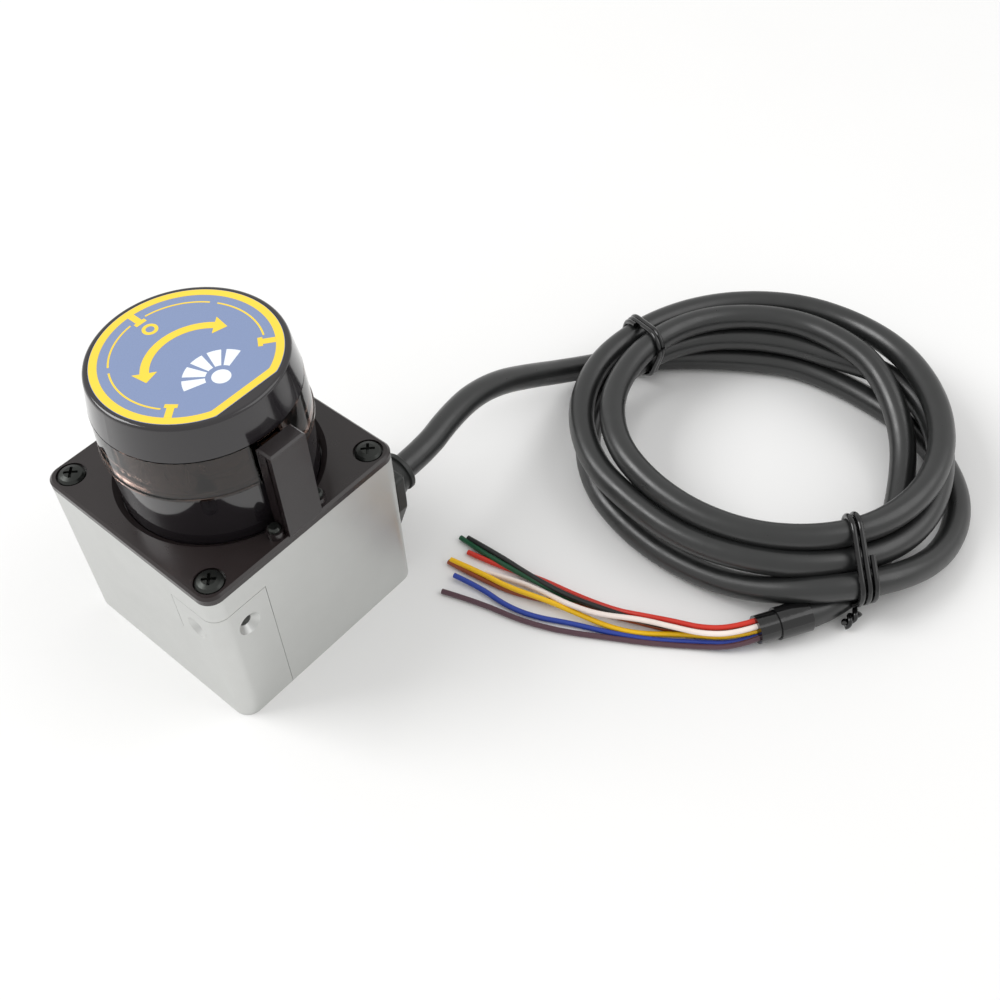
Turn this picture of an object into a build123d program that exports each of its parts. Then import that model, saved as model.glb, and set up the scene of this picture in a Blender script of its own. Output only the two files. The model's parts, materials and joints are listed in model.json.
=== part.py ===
from build123d import *
import math
import os

# Frame: +Z up, origin at the centre of the base's bottom face, sizes in millimetres.
# The scan front is -Y, the rear post is on +Y and the cable leaves the -X face.

# Driving dimensions of the scanner
SIDE = 50.0               # square footprint
HEIGHT = 70.0             # floor to the top of the cap
BODY_TOP = 38.6           # top of the aluminium housing
PLATE_H = 1.8             # black top plate
PLATE_TOP = BODY_TOP + PLATE_H
EDGE_R = 3.4              # rounded vertical corners
WALL = 2.2
COVER_H = 3.0             # bottom cover let into the housing
SCREW_XY = 20.9           # corner screws of the top plate, from the centre
BASE_SCREW_XY = 19.9      # corner screws of the bottom cover
PILLAR_IN = 17.6          # inner faces of the corner pillars
SLIP = 0.1                # gap round parts that are let in

# Corner block with the two side mounting holes
BLOCK_IN = 12.4
BLOCK_DEPTH = 5.0
BLOCK_Z0 = 22.6
BLOCK_Z1 = 33.2
SIDE_HOLE_Z = 27.0
SIDE_HOLE_U = 17.8        # along the face, from the centre
TAP_R = 1.25              # M3 tapped wall
SINK_R = 2.6

# Bottom mounting holes
FOOT_X = 17.5
FOOT_Y = 7.5
FOOT_BOSS_TOP = 6.2

# Dome
SKIRT_R = 20.0
SKIRT_IN = 18.7
LIP_Z = 52.5
LIP_R = 20.8
SEAM_Z = 62.3
SEAM_R = 20.16
CAP_R = 18.95
LABEL_R = 17.85
LABEL_FLAT_Y = 16.35
LABEL_H = 0.25

# Rear post
POST_HALF = 4.2
POST_IN = 20.95
POST_TOP = SEAM_Z

# Electronics stack
BOARD_HALF = 22.0
BOARD_H = 1.2
POWER_Z = 6.5
MAIN_Z = 13.0
STACK_XY = 13.5
CHASSIS_Z = 24.0
CHASSIS_TOP = 26.5

# Motor, bearings and rotor
TUBE_R = 7.0
TUBE_BORE = 5.6
LENS_Z = 41.1
BEARING_R = 10.0
RUN_FIT = 0.03            # radial clearance of the bearings on the fixed tube
HUB_R = 11.5
HUB_BOTTOM = 29.8
DECK_Z = 42.0             # underside of the mirror turret
TURRET_R = 10.5
TURRET_TOP = 60.0
RECEIVE_Z = 49.5          # axis of the round receiving aperture
APERTURE_R = 6.5
EMIT_Z = 58.2             # height of the outgoing beam
TEETH = 9
ENCODER_SLOTS = 24
FACE_AZ = 58.0            # where the mirrors face at rest

# Emitter in the cap
BARREL_Z = 60.6
EMITTER_BOARD_Z = 66.2
CAP_CEILING = 68.2

# Cable
CABLE_D = 6.0
LEAD_D = 1.2
EXIT_Y = 16.5
EXIT_Z = 21.5
BOOT_END = -32.5
COIL_C = (-102.3, 68.4)   # the wound turns: an oval ring with an oval hole
COIL_X = 43.4
COIL_Y = 48.7
HOLE_C = (-100.0, 67.0)
HOLE_X = 29.4
HOLE_Y = 32.0
COIL_H = 18.2
COIL_RIM = 4.0
TIE_W = 3.2
TIE_T = 0.8
UPPER_TIE_AZ = -106.0
LOWER_TIE_AZ = 62.0
SLEEVE_FROM = (-67.3, 100.0)
SLEEVE_AZ = -31.5
SLEEVE_Z = 3.6
SLEEVE_WIDE = 7.2
SLEEVE_LEN = 11.8
TAIL_LEN = 9.0
LEAD_START = 6.0          # straight start of the leads out of the sleeve

# The cable's way from the boot to the coil: level, then down to the floor
CABLE_ROUTE = [
    (BOOT_END, EXIT_Y, EXIT_Z), (-40.7, EXIT_Y, EXIT_Z), (-49.5, 14.6, 21.8), (-59.5, 12.9, 20.6),
    (-69.5, 12.5, 17.2), (-79.5, 13.2, 12.0), (-88.5, 14.4, 7.2), (-97.3, 17.4, 4.2), (-105.5, 22.2, 3.1),
]
# The middle of the fan of leads, its spread per lead and its two layers
LEAD_SPINE = [(-47.6, 82.0), (-43.8, 71.0), (-39.6, 58.0), (-35.8, 44.5), (-33.2, 31.5)]
LEAD_SPREAD = [0.66, 0.74, 0.8, 0.86, 1.0, 1.5, 2.1]
LEAD_LOW = [2.94, 2.94, 1.5, 0.65, 0.65, 0.65, 0.65]
LEAD_HIGH = [4.26, 4.26, 2.8, 1.95, 1.95, 0.65, 0.65]
LEAD_COLOURS = ["black", "green", "red", "white", "yellow", "brown", "blue", "violet"]

CORNERS = [(1, 1), (1, -1), (-1, 1), (-1, -1)]


def box(x0, x1, y0, y1, z0, z1):
    """A box between two corners."""
    return Pos((x0 + x1) / 2, (y0 + y1) / 2, (z0 + z1) / 2) * Box(x1 - x0, y1 - y0, z1 - z0)


def disc(r, z0, z1, x=0.0, y=0.0):
    """A vertical cylinder between two heights."""
    return Pos(x, y, (z0 + z1) / 2) * Cylinder(r, z1 - z0)


def ring(r_in, r_out, z0, z1, x=0.0, y=0.0):
    """A vertical annulus between two heights."""
    return disc(r_out, z0, z1, x, y) - disc(r_in, z0 - 1, z1 + 1, x, y)


def turned(points):
    """A solid turned about Z from (radius, height) points."""
    outline = make_face(Polyline(*[(r, 0, z) for r, z in points], close=True))
    return revolve(outline, Axis.Z)


def rounded_block(half, radius, z0, z1):
    """A square block with rounded vertical edges."""
    block = box(-half, half, -half, half, z0, z1)
    return fillet(block.edges().filter_by(Axis.Z), radius)


def spin(shape, degrees):
    return Rot(0, 0, degrees) * shape


def save(name, shape):
    export_step(shape, "parts/" + name + ".step")
    print(f"{name:24s} solids {len(shape.solids()):3d}  volume {shape.volume:10.2f}")


def group(shapes):
    return Compound(children=list(shapes))


# ---------------------------------------------------------------- housing

def block_space(gap):
    """The L-shaped room that the corner block fills, grown by a gap."""
    outer = box(BLOCK_IN - gap, SIDE, BLOCK_IN - gap, SIDE, BLOCK_Z0, BLOCK_Z1 + gap)
    depth = SIDE / 2 - BLOCK_DEPTH - gap
    return outer - box(0, depth, 0, depth, BLOCK_Z0 - 1, BLOCK_Z1 + 1)


def housing():
    half = SIDE / 2
    inner = half - WALL
    shell = rounded_block(half, EDGE_R, 0, BODY_TOP)
    shell -= box(-inner, inner, -inner, inner, -1, BODY_TOP + 1)
    corner = half - EDGE_R / 2
    for sx, sy in CORNERS:
        xs = sorted([sx * PILLAR_IN, sx * corner])
        ys = sorted([sy * PILLAR_IN, sy * corner])
        shell += box(*xs, *ys, COVER_H, BODY_TOP)
    for sx, sy in CORNERS:
        shell -= disc(TAP_R, BODY_TOP - 5.2, BODY_TOP + 1, sx * SCREW_XY, sy * SCREW_XY)
        shell -= disc(TAP_R, 0, 9.5, sx * BASE_SCREW_XY, sy * BASE_SCREW_XY)
    shell -= block_space(SLIP)
    shell -= box(BLOCK_IN - SLIP, BLOCK_IN, half - 0.2, half + 1, -1, BLOCK_Z0)
    gland = Pos(-half, EXIT_Y, EXIT_Z) * Rot(0, 90, 0) * Cylinder(3.2, 20)
    return shell - gland


def corner_block():
    half = SIDE / 2
    block = block_space(0.0) & rounded_block(half, EDGE_R, 0, BODY_TOP)
    for turn in (0, 90):
        hole = Pos(half - BLOCK_DEPTH / 2, 0, 0) * Rot(0, 90, 0) * Cylinder(TAP_R, BLOCK_DEPTH + 1)
        sink = Pos(half - 0.65, 0, 0) * Rot(0, 90, 0) * Cone(TAP_R, SINK_R, 1.35)
        side = 1 if turn == 0 else -1
        block -= Rot(0, 0, turn) * Pos(0, side * SIDE_HOLE_U, SIDE_HOLE_Z) * (hole + sink)
    return block


def base_cover():
    half = SIDE / 2 - WALL - SLIP
    cover = box(-half, half, -half, half, 0, COVER_H)
    for sx, sy in CORNERS:
        cover += disc(3.0, COVER_H, FOOT_BOSS_TOP, sx * FOOT_X, sy * FOOT_Y)
    for sx, sy in CORNERS:
        cover -= disc(TAP_R, -1, FOOT_BOSS_TOP - 0.8, sx * FOOT_X, sy * FOOT_Y)
        cover -= disc(TAP_R, -1, COVER_H + 1, sx * BASE_SCREW_XY, sy * BASE_SCREW_XY)
        cover -= Pos(sx * BASE_SCREW_XY, sy * BASE_SCREW_XY, 0.65) * Cone(2.2, 1.15, 1.3)
        cover -= disc(0.85, -1, COVER_H + 1, sx * STACK_XY, sy * STACK_XY)
    return cover


def base_screws():
    screw = Pos(0, 0, 0.65) * Cone(2.1, 1.1, 1.3) + disc(1.1, 1.3, 9.0)
    screw -= box(-1.1, 1.1, -0.25, 0.25, -1, 0.7) + box(-0.25, 0.25, -1.1, 1.1, -1, 0.7)
    return group(Pos(sx * BASE_SCREW_XY, sy * BASE_SCREW_XY, 0) * screw for sx, sy in CORNERS)


def top_plate():
    plate = rounded_block(SIDE / 2, EDGE_R, BODY_TOP, PLATE_TOP)
    plate = chamfer(plate.faces().sort_by(Axis.Z)[-1].outer_wire().edges(), 0.5)
    plate -= disc(SKIRT_R + 0.15, BODY_TOP - 1, PLATE_TOP + 1)
    plate -= Pos(0, 0, PLATE_TOP - 0.45) * Cone(SKIRT_R + 0.15, SKIRT_R + 1.4, 0.9)
    for sx, sy in CORNERS:
        plate -= disc(1.4, BODY_TOP - 1, PLATE_TOP + 1, sx * SCREW_XY, sy * SCREW_XY)
        plate -= disc(3.1, PLATE_TOP - 0.9, PLATE_TOP + 1, sx * SCREW_XY, sy * SCREW_XY)
    return plate - box(-2.3, 2.3, 21.6, 22.5, BODY_TOP - 1, PLATE_TOP + 1)


def top_screws():
    seat = PLATE_TOP - 0.9
    head = turned([(0, seat), (2.75, seat), (2.75, seat + 0.8), (2.3, seat + 1.3),
                   (1.4, seat + 1.6), (0, seat + 1.7)])
    screw = head + disc(1.15, BODY_TOP - 4.8, seat)
    for turn in (0, 90):
        screw -= spin(box(-1.45, 1.45, -0.3, 0.3, seat + 0.6, seat + 3), turn + 45)
    return group(Pos(sx * SCREW_XY, sy * SCREW_XY, 0) * screw for sx, sy in CORNERS)


# ---------------------------------------------------------------- dome

def dome_skirt():
    skirt = ring(SKIRT_IN, SKIRT_R, BODY_TOP - 1.2, LIP_Z)
    skirt += ring(SKIRT_IN, 22.2, BODY_TOP - 1.2, BODY_TOP - 0.4)
    skirt += ring(SKIRT_IN, 19.3, LIP_Z, LIP_Z + 0.8)
    return skirt - box(-2.4, 2.4, 21.4, 23, BODY_TOP - 2, BODY_TOP)


def skirt_gasket():
    gasket = ring(SKIRT_R + 0.1, 22.2, BODY_TOP - 0.4, BODY_TOP)
    return gasket - box(-2.4, 2.4, 21.4, 23, BODY_TOP - 2, BODY_TOP + 1)


def optical_window():
    window = turned([
        (19.35, LIP_Z), (LIP_R - 0.2, LIP_Z), (LIP_R, LIP_Z + 0.2), (LIP_R, LIP_Z + 0.7),
        (LIP_R - 0.2, LIP_Z + 0.9), (SEAM_R, SEAM_Z), (18.9, SEAM_Z), (18.9, LIP_Z + 0.85),
        (19.35, LIP_Z + 0.85),
    ])
    return window - box(-2.4, 2.4, 17, 22, 60.5, 61.5)


def label_outline(radius, flat, z0, z1):
    return disc(radius, z0, z1) - box(-radius, radius, flat, radius + 1, z0 - 1, z1 + 1)


def top_cap():
    cap = turned([(0, SEAM_Z), (SEAM_R - 0.2, SEAM_Z), (SEAM_R - 0.04, SEAM_Z + 0.2),
                  (CAP_R, HEIGHT), (0, HEIGHT)])
    cap = fillet(cap.edges().filter_by(GeomType.CIRCLE).sort_by(Axis.Z)[-1], 0.8)
    cap -= turned([(0, SEAM_Z - 1), (18.7, SEAM_Z - 1), (17.6, CAP_CEILING), (0, CAP_CEILING)])
    for turn in (30, 150, 270):
        cap += spin(disc(1.7, EMITTER_BOARD_Z + 1.0, CAP_CEILING + 0.1, 13.0, 0), turn)
    return cap - label_outline(LABEL_R + 0.1, LABEL_FLAT_Y + 0.1, HEIGHT - LABEL_H, HEIGHT + 1)


def cap_label():
    return label_outline(LABEL_R, LABEL_FLAT_Y, HEIGHT - LABEL_H, HEIGHT)


# ---------------------------------------------------------------- rear post

def post_duct():
    duct = box(-POST_HALF, POST_HALF, POST_IN, 23.4, PLATE_TOP, POST_TOP - 0.9)
    for sx in (1, -1):
        duct += disc(1.7, PLATE_TOP, PLATE_TOP + 1.6, sx * 5.5, 22.4)
    for sx in (1, -1):
        duct -= disc(0.75, PLATE_TOP - 1, PLATE_TOP + 3, sx * 5.5, 22.4)
    duct -= box(-2.3, 2.3, 21.6, 24, PLATE_TOP - 1, 61.0)
    return duct - box(-2.3, 2.3, 20, 22, 60.2, 61.0)


def post_cover():
    cover = box(-POST_HALF, POST_HALF, 23.9, SIDE / 2, PLATE_TOP, POST_TOP)
    cover += box(-POST_HALF, POST_HALF, POST_IN, 24, POST_TOP - 0.85, POST_TOP)
    cover += box(-POST_HALF + 0.5, POST_HALF - 0.5, 23.4, 24, PLATE_TOP, POST_TOP)
    top = cover.faces().sort_by(Axis.Z)[-1]
    return chamfer(top.outer_wire().edges(), 0.4)


def post_screws():
    screw = disc(1.3, PLATE_TOP + 1.6, PLATE_TOP + 2.6, 5.5, 22.4)
    screw = chamfer(screw.edges().filter_by(GeomType.CIRCLE).sort_by(Axis.Z)[-1], 0.35)
    screw += disc(0.7, PLATE_TOP + 0.1, PLATE_TOP + 1.7, 5.5, 22.4)
    return group([screw, mirror(screw, Plane.YZ)])


# ---------------------------------------------------------------- boards

def bare_board(z):
    board = box(-BOARD_HALF, BOARD_HALF, -BOARD_HALF, BOARD_HALF, z, z + BOARD_H)
    for sx, sy in CORNERS:
        xs = sorted([sx * 17.2, sx * 23])
        ys = sorted([sy * 17.2, sy * 23])
        board -= box(*xs, *ys, z - 1, z + 2)
        board -= disc(1.05, z - 1, z + 2, sx * STACK_XY, sy * STACK_XY)
    return board


def power_board():
    return bare_board(POWER_Z)


def main_board():
    return bare_board(MAIN_Z)


def board_chips():
    top = MAIN_Z + BOARD_H
    low = POWER_Z + BOARD_H
    return group([
        box(-6, 6, -6, 6, top, top + 1.2), box(8.5, 15.5, -8, 0, top, top + 1.0),
        box(-4, 4, -19, -14.5, top, top + 1.6), box(-9, -7.2, 10, 14, top, top + 1.0),
        disc(3.0, low, low + 4.6, 8, 4), disc(3.0, low, low + 4.6, -8, 4),
        box(-4, 4, -12, -4, low, low + 3.2),
    ])


def board_spacers():
    spans = [(COVER_H, POWER_Z), (POWER_Z + BOARD_H, MAIN_Z), (MAIN_Z + BOARD_H, CHASSIS_Z)]
    spacers = []
    for sx, sy in CORNERS:
        for z0, z1 in spans:
            hexagon = extrude(RegularPolygon(2.1, 6), z1 - z0)
            spacers.append(Pos(sx * STACK_XY, sy * STACK_XY, z0) * hexagon)
    return group(spacers)


def cable_connector():
    z = MAIN_Z + BOARD_H
    return box(-20.4, -15.9, 2.5, 12.0, z, z + 4.0)


def inner_harness():
    """The leads from the strain relief to the connector, as one bundle."""
    route = [(-21.0, EXIT_Y, EXIT_Z), (-18.2, EXIT_Y, EXIT_Z), (-18.2, 8.5, EXIT_Z), (-18.2, 8.5, 18.2)]
    path = FilletPolyline(*route, radius=1.2)
    return sweep(Plane(path @ 0, z_dir=path % 0) * Circle(0.95), path)


# ---------------------------------------------------------------- motor and receiver

def motor_chassis():
    chassis = disc(20.9, CHASSIS_Z, CHASSIS_TOP)
    chassis += ring(19.45, 20.9, CHASSIS_TOP, 36.5)
    chassis -= disc(8.65, CHASSIS_Z - 1, CHASSIS_TOP + 1)
    for turn in (45, 135, 225, 315):
        chassis -= spin(box(15, 24, -2.6, 2.6, CHASSIS_TOP, 37), turn)
    for sx, sy in CORNERS:
        chassis -= disc(1.05, CHASSIS_Z - 1, CHASSIS_TOP + 1, sx * STACK_XY, sy * STACK_XY)
        chassis -= Pos(sx * STACK_XY, sy * STACK_XY, CHASSIS_TOP - 0.5) * Cone(1.05, 2.05, 1.0)
    return chassis


def chassis_screws():
    screw = Pos(0, 0, CHASSIS_TOP - 0.5) * Cone(1.0, 2.0, 1.0) + disc(1.0, CHASSIS_Z, CHASSIS_TOP - 1)
    screw -= box(-0.9, 0.9, -0.2, 0.2, CHASSIS_TOP - 0.5, 27)
    return group(Pos(sx * STACK_XY, sy * STACK_XY, 0) * screw for sx, sy in CORNERS)


def bearing_tube():
    return turned([
        (TUBE_BORE, 22.4), (11.5, 22.4), (11.5, CHASSIS_Z), (8.6, CHASSIS_Z), (8.6, CHASSIS_TOP),
        (7.8, CHASSIS_TOP), (7.8, 30.0), (TUBE_R, 30.0), (TUBE_R, 44.6), (TUBE_BORE, 44.6),
        (TUBE_BORE, LENS_Z), (4.9, LENS_Z - 0.4), (4.9, LENS_Z - 0.9), (TUBE_BORE, LENS_Z - 1.4),
    ])


def bearing(z):
    race = ring(TUBE_R + RUN_FIT, BEARING_R, z, z + 3)
    return race - ring(8.0, 9.1, z - 1, z + 0.3) - ring(8.0, 9.1, z + 2.7, z + 4)


def rotor_hub():
    return ring(BEARING_R, HUB_R, HUB_BOTTOM, DECK_Z - 1.6) + ring(BEARING_R, 15.0, DECK_Z - 1.6, DECK_Z)


def rotor_magnet():
    return ring(HUB_R, 13.0, 30.6, 36.2)


def stator_core():
    core = ring(17.2, 19.4, 31.0, 36.0)
    for i in range(TEETH):
        tooth = box(13.9, 17.5, -1.1, 1.1, 31.0, 36.0)
        shoe = ring(13.5, 14.2, 31.0, 36.0) & box(10, 15, -3.6, 3.6, 30, 37)
        core += spin(tooth + shoe, i * 360 / TEETH)
    return core


def stator_coils():
    coil = box(14.4, 16.9, -2.4, 2.4, 30.1, 36.9) - box(14, 17.5, -1.15, 1.15, 30.95, 36.05)
    coil = fillet(coil.edges().filter_by(Axis.X).group_by(Axis.Z)[0], 0.6)
    return group(spin(coil, i * 360 / TEETH) for i in range(TEETH))


def encoder_disc():
    plate = ring(HUB_R, 17.4, 38.0, 38.5)
    for i in range(ENCODER_SLOTS):
        plate -= spin(box(15.2, 16.8, -0.7, 0.7, 37, 39), i * 360 / ENCODER_SLOTS)
    return plate


def encoder_sensor():
    arms = box(15.4, 20.6, -2, 2, 36.92, 37.4) + box(17.9, 18.55, -2, 2, 37.4, 39.6)
    arms += box(15.4, 18.55, -2, 2, 39.0, 39.6) + box(19.5, 20.6, -2, 2, 36.5, 36.95)
    return spin(arms, -80)


def receiver_board():
    board = disc(10.5, 20.2, 21.2)
    for turn in (0, 120, 240):
        board += spin(ring(0.6, 1.3, 21.2, 22.4, 8.8, 0), turn)
    return board


def photodiode():
    return disc(2.6, 21.2, 21.7) + disc(2.2, 21.7, 23.2)


def receive_lens():
    rise = 1.0
    dome_r = (TUBE_BORE ** 2 + rise ** 2) / (2 * rise)
    ball = Pos(0, 0, LENS_Z + 1.8 + rise - dome_r) * Sphere(dome_r)
    return disc(TUBE_BORE - 0.02, LENS_Z, LENS_Z + 3) & (ball + disc(TUBE_BORE, LENS_Z, LENS_Z + 1.8))


# ---------------------------------------------------------------- scanning head

def mirror_plate(length, width, thick, tilt, z):
    """A flat mirror across the axis, tilted about the local Y axis."""
    return Pos(0, 0, z) * Rot(0, tilt, 0) * Pos(0, 0, -thick / 2) * Box(length, width, thick)


def receive_mirror():
    plate = mirror_plate(20.0, 2 * APERTURE_R + 1, 1.0, 135, RECEIVE_Z)
    return spin(plate & disc(9.6, 44.8, RECEIVE_Z + APERTURE_R), FACE_AZ)


def emit_mirror():
    return spin(mirror_plate(4.4, 5.6, 0.8, 45, EMIT_Z), FACE_AZ)


def side_prism(points, half_width):
    """A prism across the turret from a side view of (x, z) points."""
    outline = make_face(Polyline(*[(x, 0, z) for x, z in points], close=True))
    return extrude(outline, half_width, dir=(0, 1, 0), both=True)


def mirror_turret():
    base = ring(7.5, 15.0, DECK_Z, 43.6) - ring(11.5, 14.2, 43.0, 44)
    tower = disc(TURRET_R, 43.6, TURRET_TOP) - disc(7.5, 43.5, 45.0)
    tower = chamfer(tower.faces().sort_by(Axis.Z)[-1].outer_wire().edges(), 0.4)
    ahead = side_prism([(43.0 - RECEIVE_Z, 43.0), (20, 43.0), (20, RECEIVE_Z + 20)], 9)
    arch = Pos(0, 0, RECEIVE_Z) * Rot(0, 90, 0) * Cylinder(APERTURE_R, 40)
    arch += box(-20, 20, -APERTURE_R, APERTURE_R, 43.0, RECEIVE_Z)
    tower -= ahead & arch
    low = EMIT_Z - 1.2
    tower -= side_prism([(-1.5, EMIT_Z + 1.5), (1.2, low), (20, low), (20, 62), (-1.5, 62)], 3.2)
    turret = spin(base + tower, FACE_AZ)
    return turret - receive_mirror() - emit_mirror()


# ---------------------------------------------------------------- emitter in the cap

def emitter_board():
    board = disc(16.6, EMITTER_BOARD_Z, EMITTER_BOARD_Z + 1.0)
    for turn in (30, 150, 270):
        board -= spin(disc(0.6, 64, 69, 13.0, 0), turn)
    return board


def laser_diode():
    return disc(2.8, EMITTER_BOARD_Z - 1.2, EMITTER_BOARD_Z) + disc(2.35, 63.0, EMITTER_BOARD_Z - 1.2)


def collimator_barrel():
    return ring(2.85, 4.4, BARREL_Z, EMITTER_BOARD_Z) + ring(2.3, 3.0, BARREL_Z, BARREL_Z + 0.6)


def collimator_lens():
    foot = BARREL_Z + 0.6
    crown = Pos(0, 0, foot - 3.7) * Sphere(5.3) & disc(2.8, foot + 0.7, foot + 2)
    return disc(2.8, foot, foot + 0.8) + crown


def emitter_flex():
    """Flat cable from the main board up the post and into the cap."""
    half = 2.0
    strip = box(-half, half, 21.9, 22.1, MAIN_Z + BOARD_H + 0.9, 60.9)
    strip += box(-half, half, 16.9, 22.1, 60.7, 60.9)
    strip += box(-half, half, 16.9, 17.1, 60.7, EMITTER_BOARD_Z)
    strip += box(-half, half, 13.5, 17.1, EMITTER_BOARD_Z - 0.2, EMITTER_BOARD_Z)
    return strip


# ---------------------------------------------------------------- cable

def strain_relief_flange():
    """Shield-shaped flange on the side face, narrow at the foot."""
    half = 6.6
    outline = [(EXIT_Y - half, 28.3), (EXIT_Y - half, 19.0), (EXIT_Y - 2.2, 6.6), (EXIT_Y + 2.2, 6.6),
               (EXIT_Y + half, 19.0), (EXIT_Y + half, 28.3)]
    wall = Plane.YZ.offset(-28.0) * make_face(Polyline(*outline, close=True))
    plate = extrude(wall, 3.0)
    plate = fillet(plate.edges().filter_by(Axis.X), 1.0)
    plate = chamfer(plate.faces().sort_by(Axis.X)[0].outer_wire().edges(), 0.8)
    return plate - Pos(-26, EXIT_Y, EXIT_Z) * Rot(0, 90, 0) * Cylinder(3.1, 10)


def strain_relief_boot():
    """Tapered boot with a rim where the cable leaves it."""
    profile = [(0, -21.0), (3.1, -21.0), (3.1, -28.0), (5.0, -28.0), (4.0, -31.2), (4.5, -31.4),
               (4.5, -32.3), (4.3, BOOT_END), (0, BOOT_END)]
    boot = turned(profile)
    return Pos(0, EXIT_Y, EXIT_Z) * Rot(0, 90, 0) * boot


def route_radii(points):
    """The largest radii that runs and turns allow, one for each corner."""
    radii = []
    for a, b, c in zip(points, points[1:], points[2:]):
        before = Vector(*b) - Vector(*a)
        after = Vector(*c) - Vector(*b)
        half_turn = math.radians(before.get_angle(after)) / 2
        radii.append(0.45 * min(before.length, after.length) / math.tan(half_turn))
    return radii


def tube(name, points, diameter):
    radii = route_radii(points)
    path = FilletPolyline(*points, radius=radii)
    solid = sweep(Plane(path @ 0, z_dir=path % 0) * Circle(diameter / 2), path)
    expected = math.pi * diameter ** 2 / 4 * path.length
    print(f"{name}: length {path.length:.1f}, radii {[round(r, 1) for r in radii]},"
          f" volume / (section x length) {solid.volume / expected:.4f}")
    return solid


def coil_body(grow, low):
    """The outer shape of the wound turns, grown all round by a thickness."""
    outline = Pos(*COIL_C) * Ellipse(COIL_X + grow, COIL_Y + grow)
    outline -= Pos(*HOLE_C) * Ellipse(HOLE_X - grow, HOLE_Y - grow)
    body = Pos(0, 0, low) * extrude(outline, COIL_H + grow - low)
    rims = body.edges().group_by(Axis.Z)[-1]
    return fillet(rims, COIL_RIM + grow)


def wire_tie(azimuth):
    """A narrow band wrapped tightly round the turns, at one side of the coil."""
    slab = box(15, 60, -TIE_W / 2, TIE_W / 2, -1, COIL_H + 5)
    band = coil_body(TIE_T, 0.0) - coil_body(0.0, TIE_T)
    return band & (Pos(*HOLE_C, 0) * spin(slab, azimuth))


def along_sleeve(distance, aside=0.0, z=SLEEVE_Z):
    """A point a distance along the sleeve's axis and a little to its left."""
    turn = math.radians(SLEEVE_AZ)
    x = SLEEVE_FROM[0] + math.cos(turn) * distance - math.sin(turn) * aside
    y = SLEEVE_FROM[1] + math.sin(turn) * distance + math.cos(turn) * aside
    return (x, y, z)


def sleeve_plane(distance):
    turn = math.radians(SLEEVE_AZ)
    return Plane(along_sleeve(distance), z_dir=(math.cos(turn), math.sin(turn), 0))


def cable_coil():
    """The wound turns as one solid, with room for the ties and the sleeve."""
    room = extrude(sleeve_plane(-0.3) * Circle(4.2), SLEEVE_LEN)
    return coil_body(0.0, 0.0) - wire_tie(UPPER_TIE_AZ) - wire_tie(LOWER_TIE_AZ) - room


def cable_tail():
    """The cable's last stretch, from the coil into the sleeve."""
    tail = extrude(sleeve_plane(-TAIL_LEN) * Circle(CABLE_D / 2), TAIL_LEN)
    return tail - cable_coil()


def end_sleeve():
    """Two-step shrink sleeve over the cable's end."""
    wide = extrude(sleeve_plane(0) * Circle(3.55), SLEEVE_WIDE)
    narrow = extrude(sleeve_plane(1) * Circle(3.1), SLEEVE_LEN - 1)
    return wide + narrow


def signal_cable():
    cable = tube("signal_cable", CABLE_ROUTE, CABLE_D)
    return cable - coil_body(0.0, -5.0)


def lead_points(index):
    """One lead of the fan: the spine moved sideways, in one of two layers."""
    place = index - (len(LEAD_COLOURS) - 1) / 2
    heights = LEAD_LOW if index % 2 == 0 else LEAD_HIGH
    shift = place * LEAD_SPREAD[0]
    points = [along_sleeve(SLEEVE_LEN, shift, heights[0])]
    points.append(along_sleeve(SLEEVE_LEN + LEAD_START, shift, heights[1]))
    last = len(LEAD_SPINE) - 1
    for i, (x, y) in enumerate(LEAD_SPINE):
        ahead = LEAD_SPINE[min(i + 1, last)]
        behind = LEAD_SPINE[max(i - 1, 0)]
        side = Vector(behind[1] - ahead[1], ahead[0] - behind[0], 0).normalized()
        shift = place * LEAD_SPREAD[i + 2]
        points.append((x + side.X * shift, y + side.Y * shift, heights[i + 2]))
    return points


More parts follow.
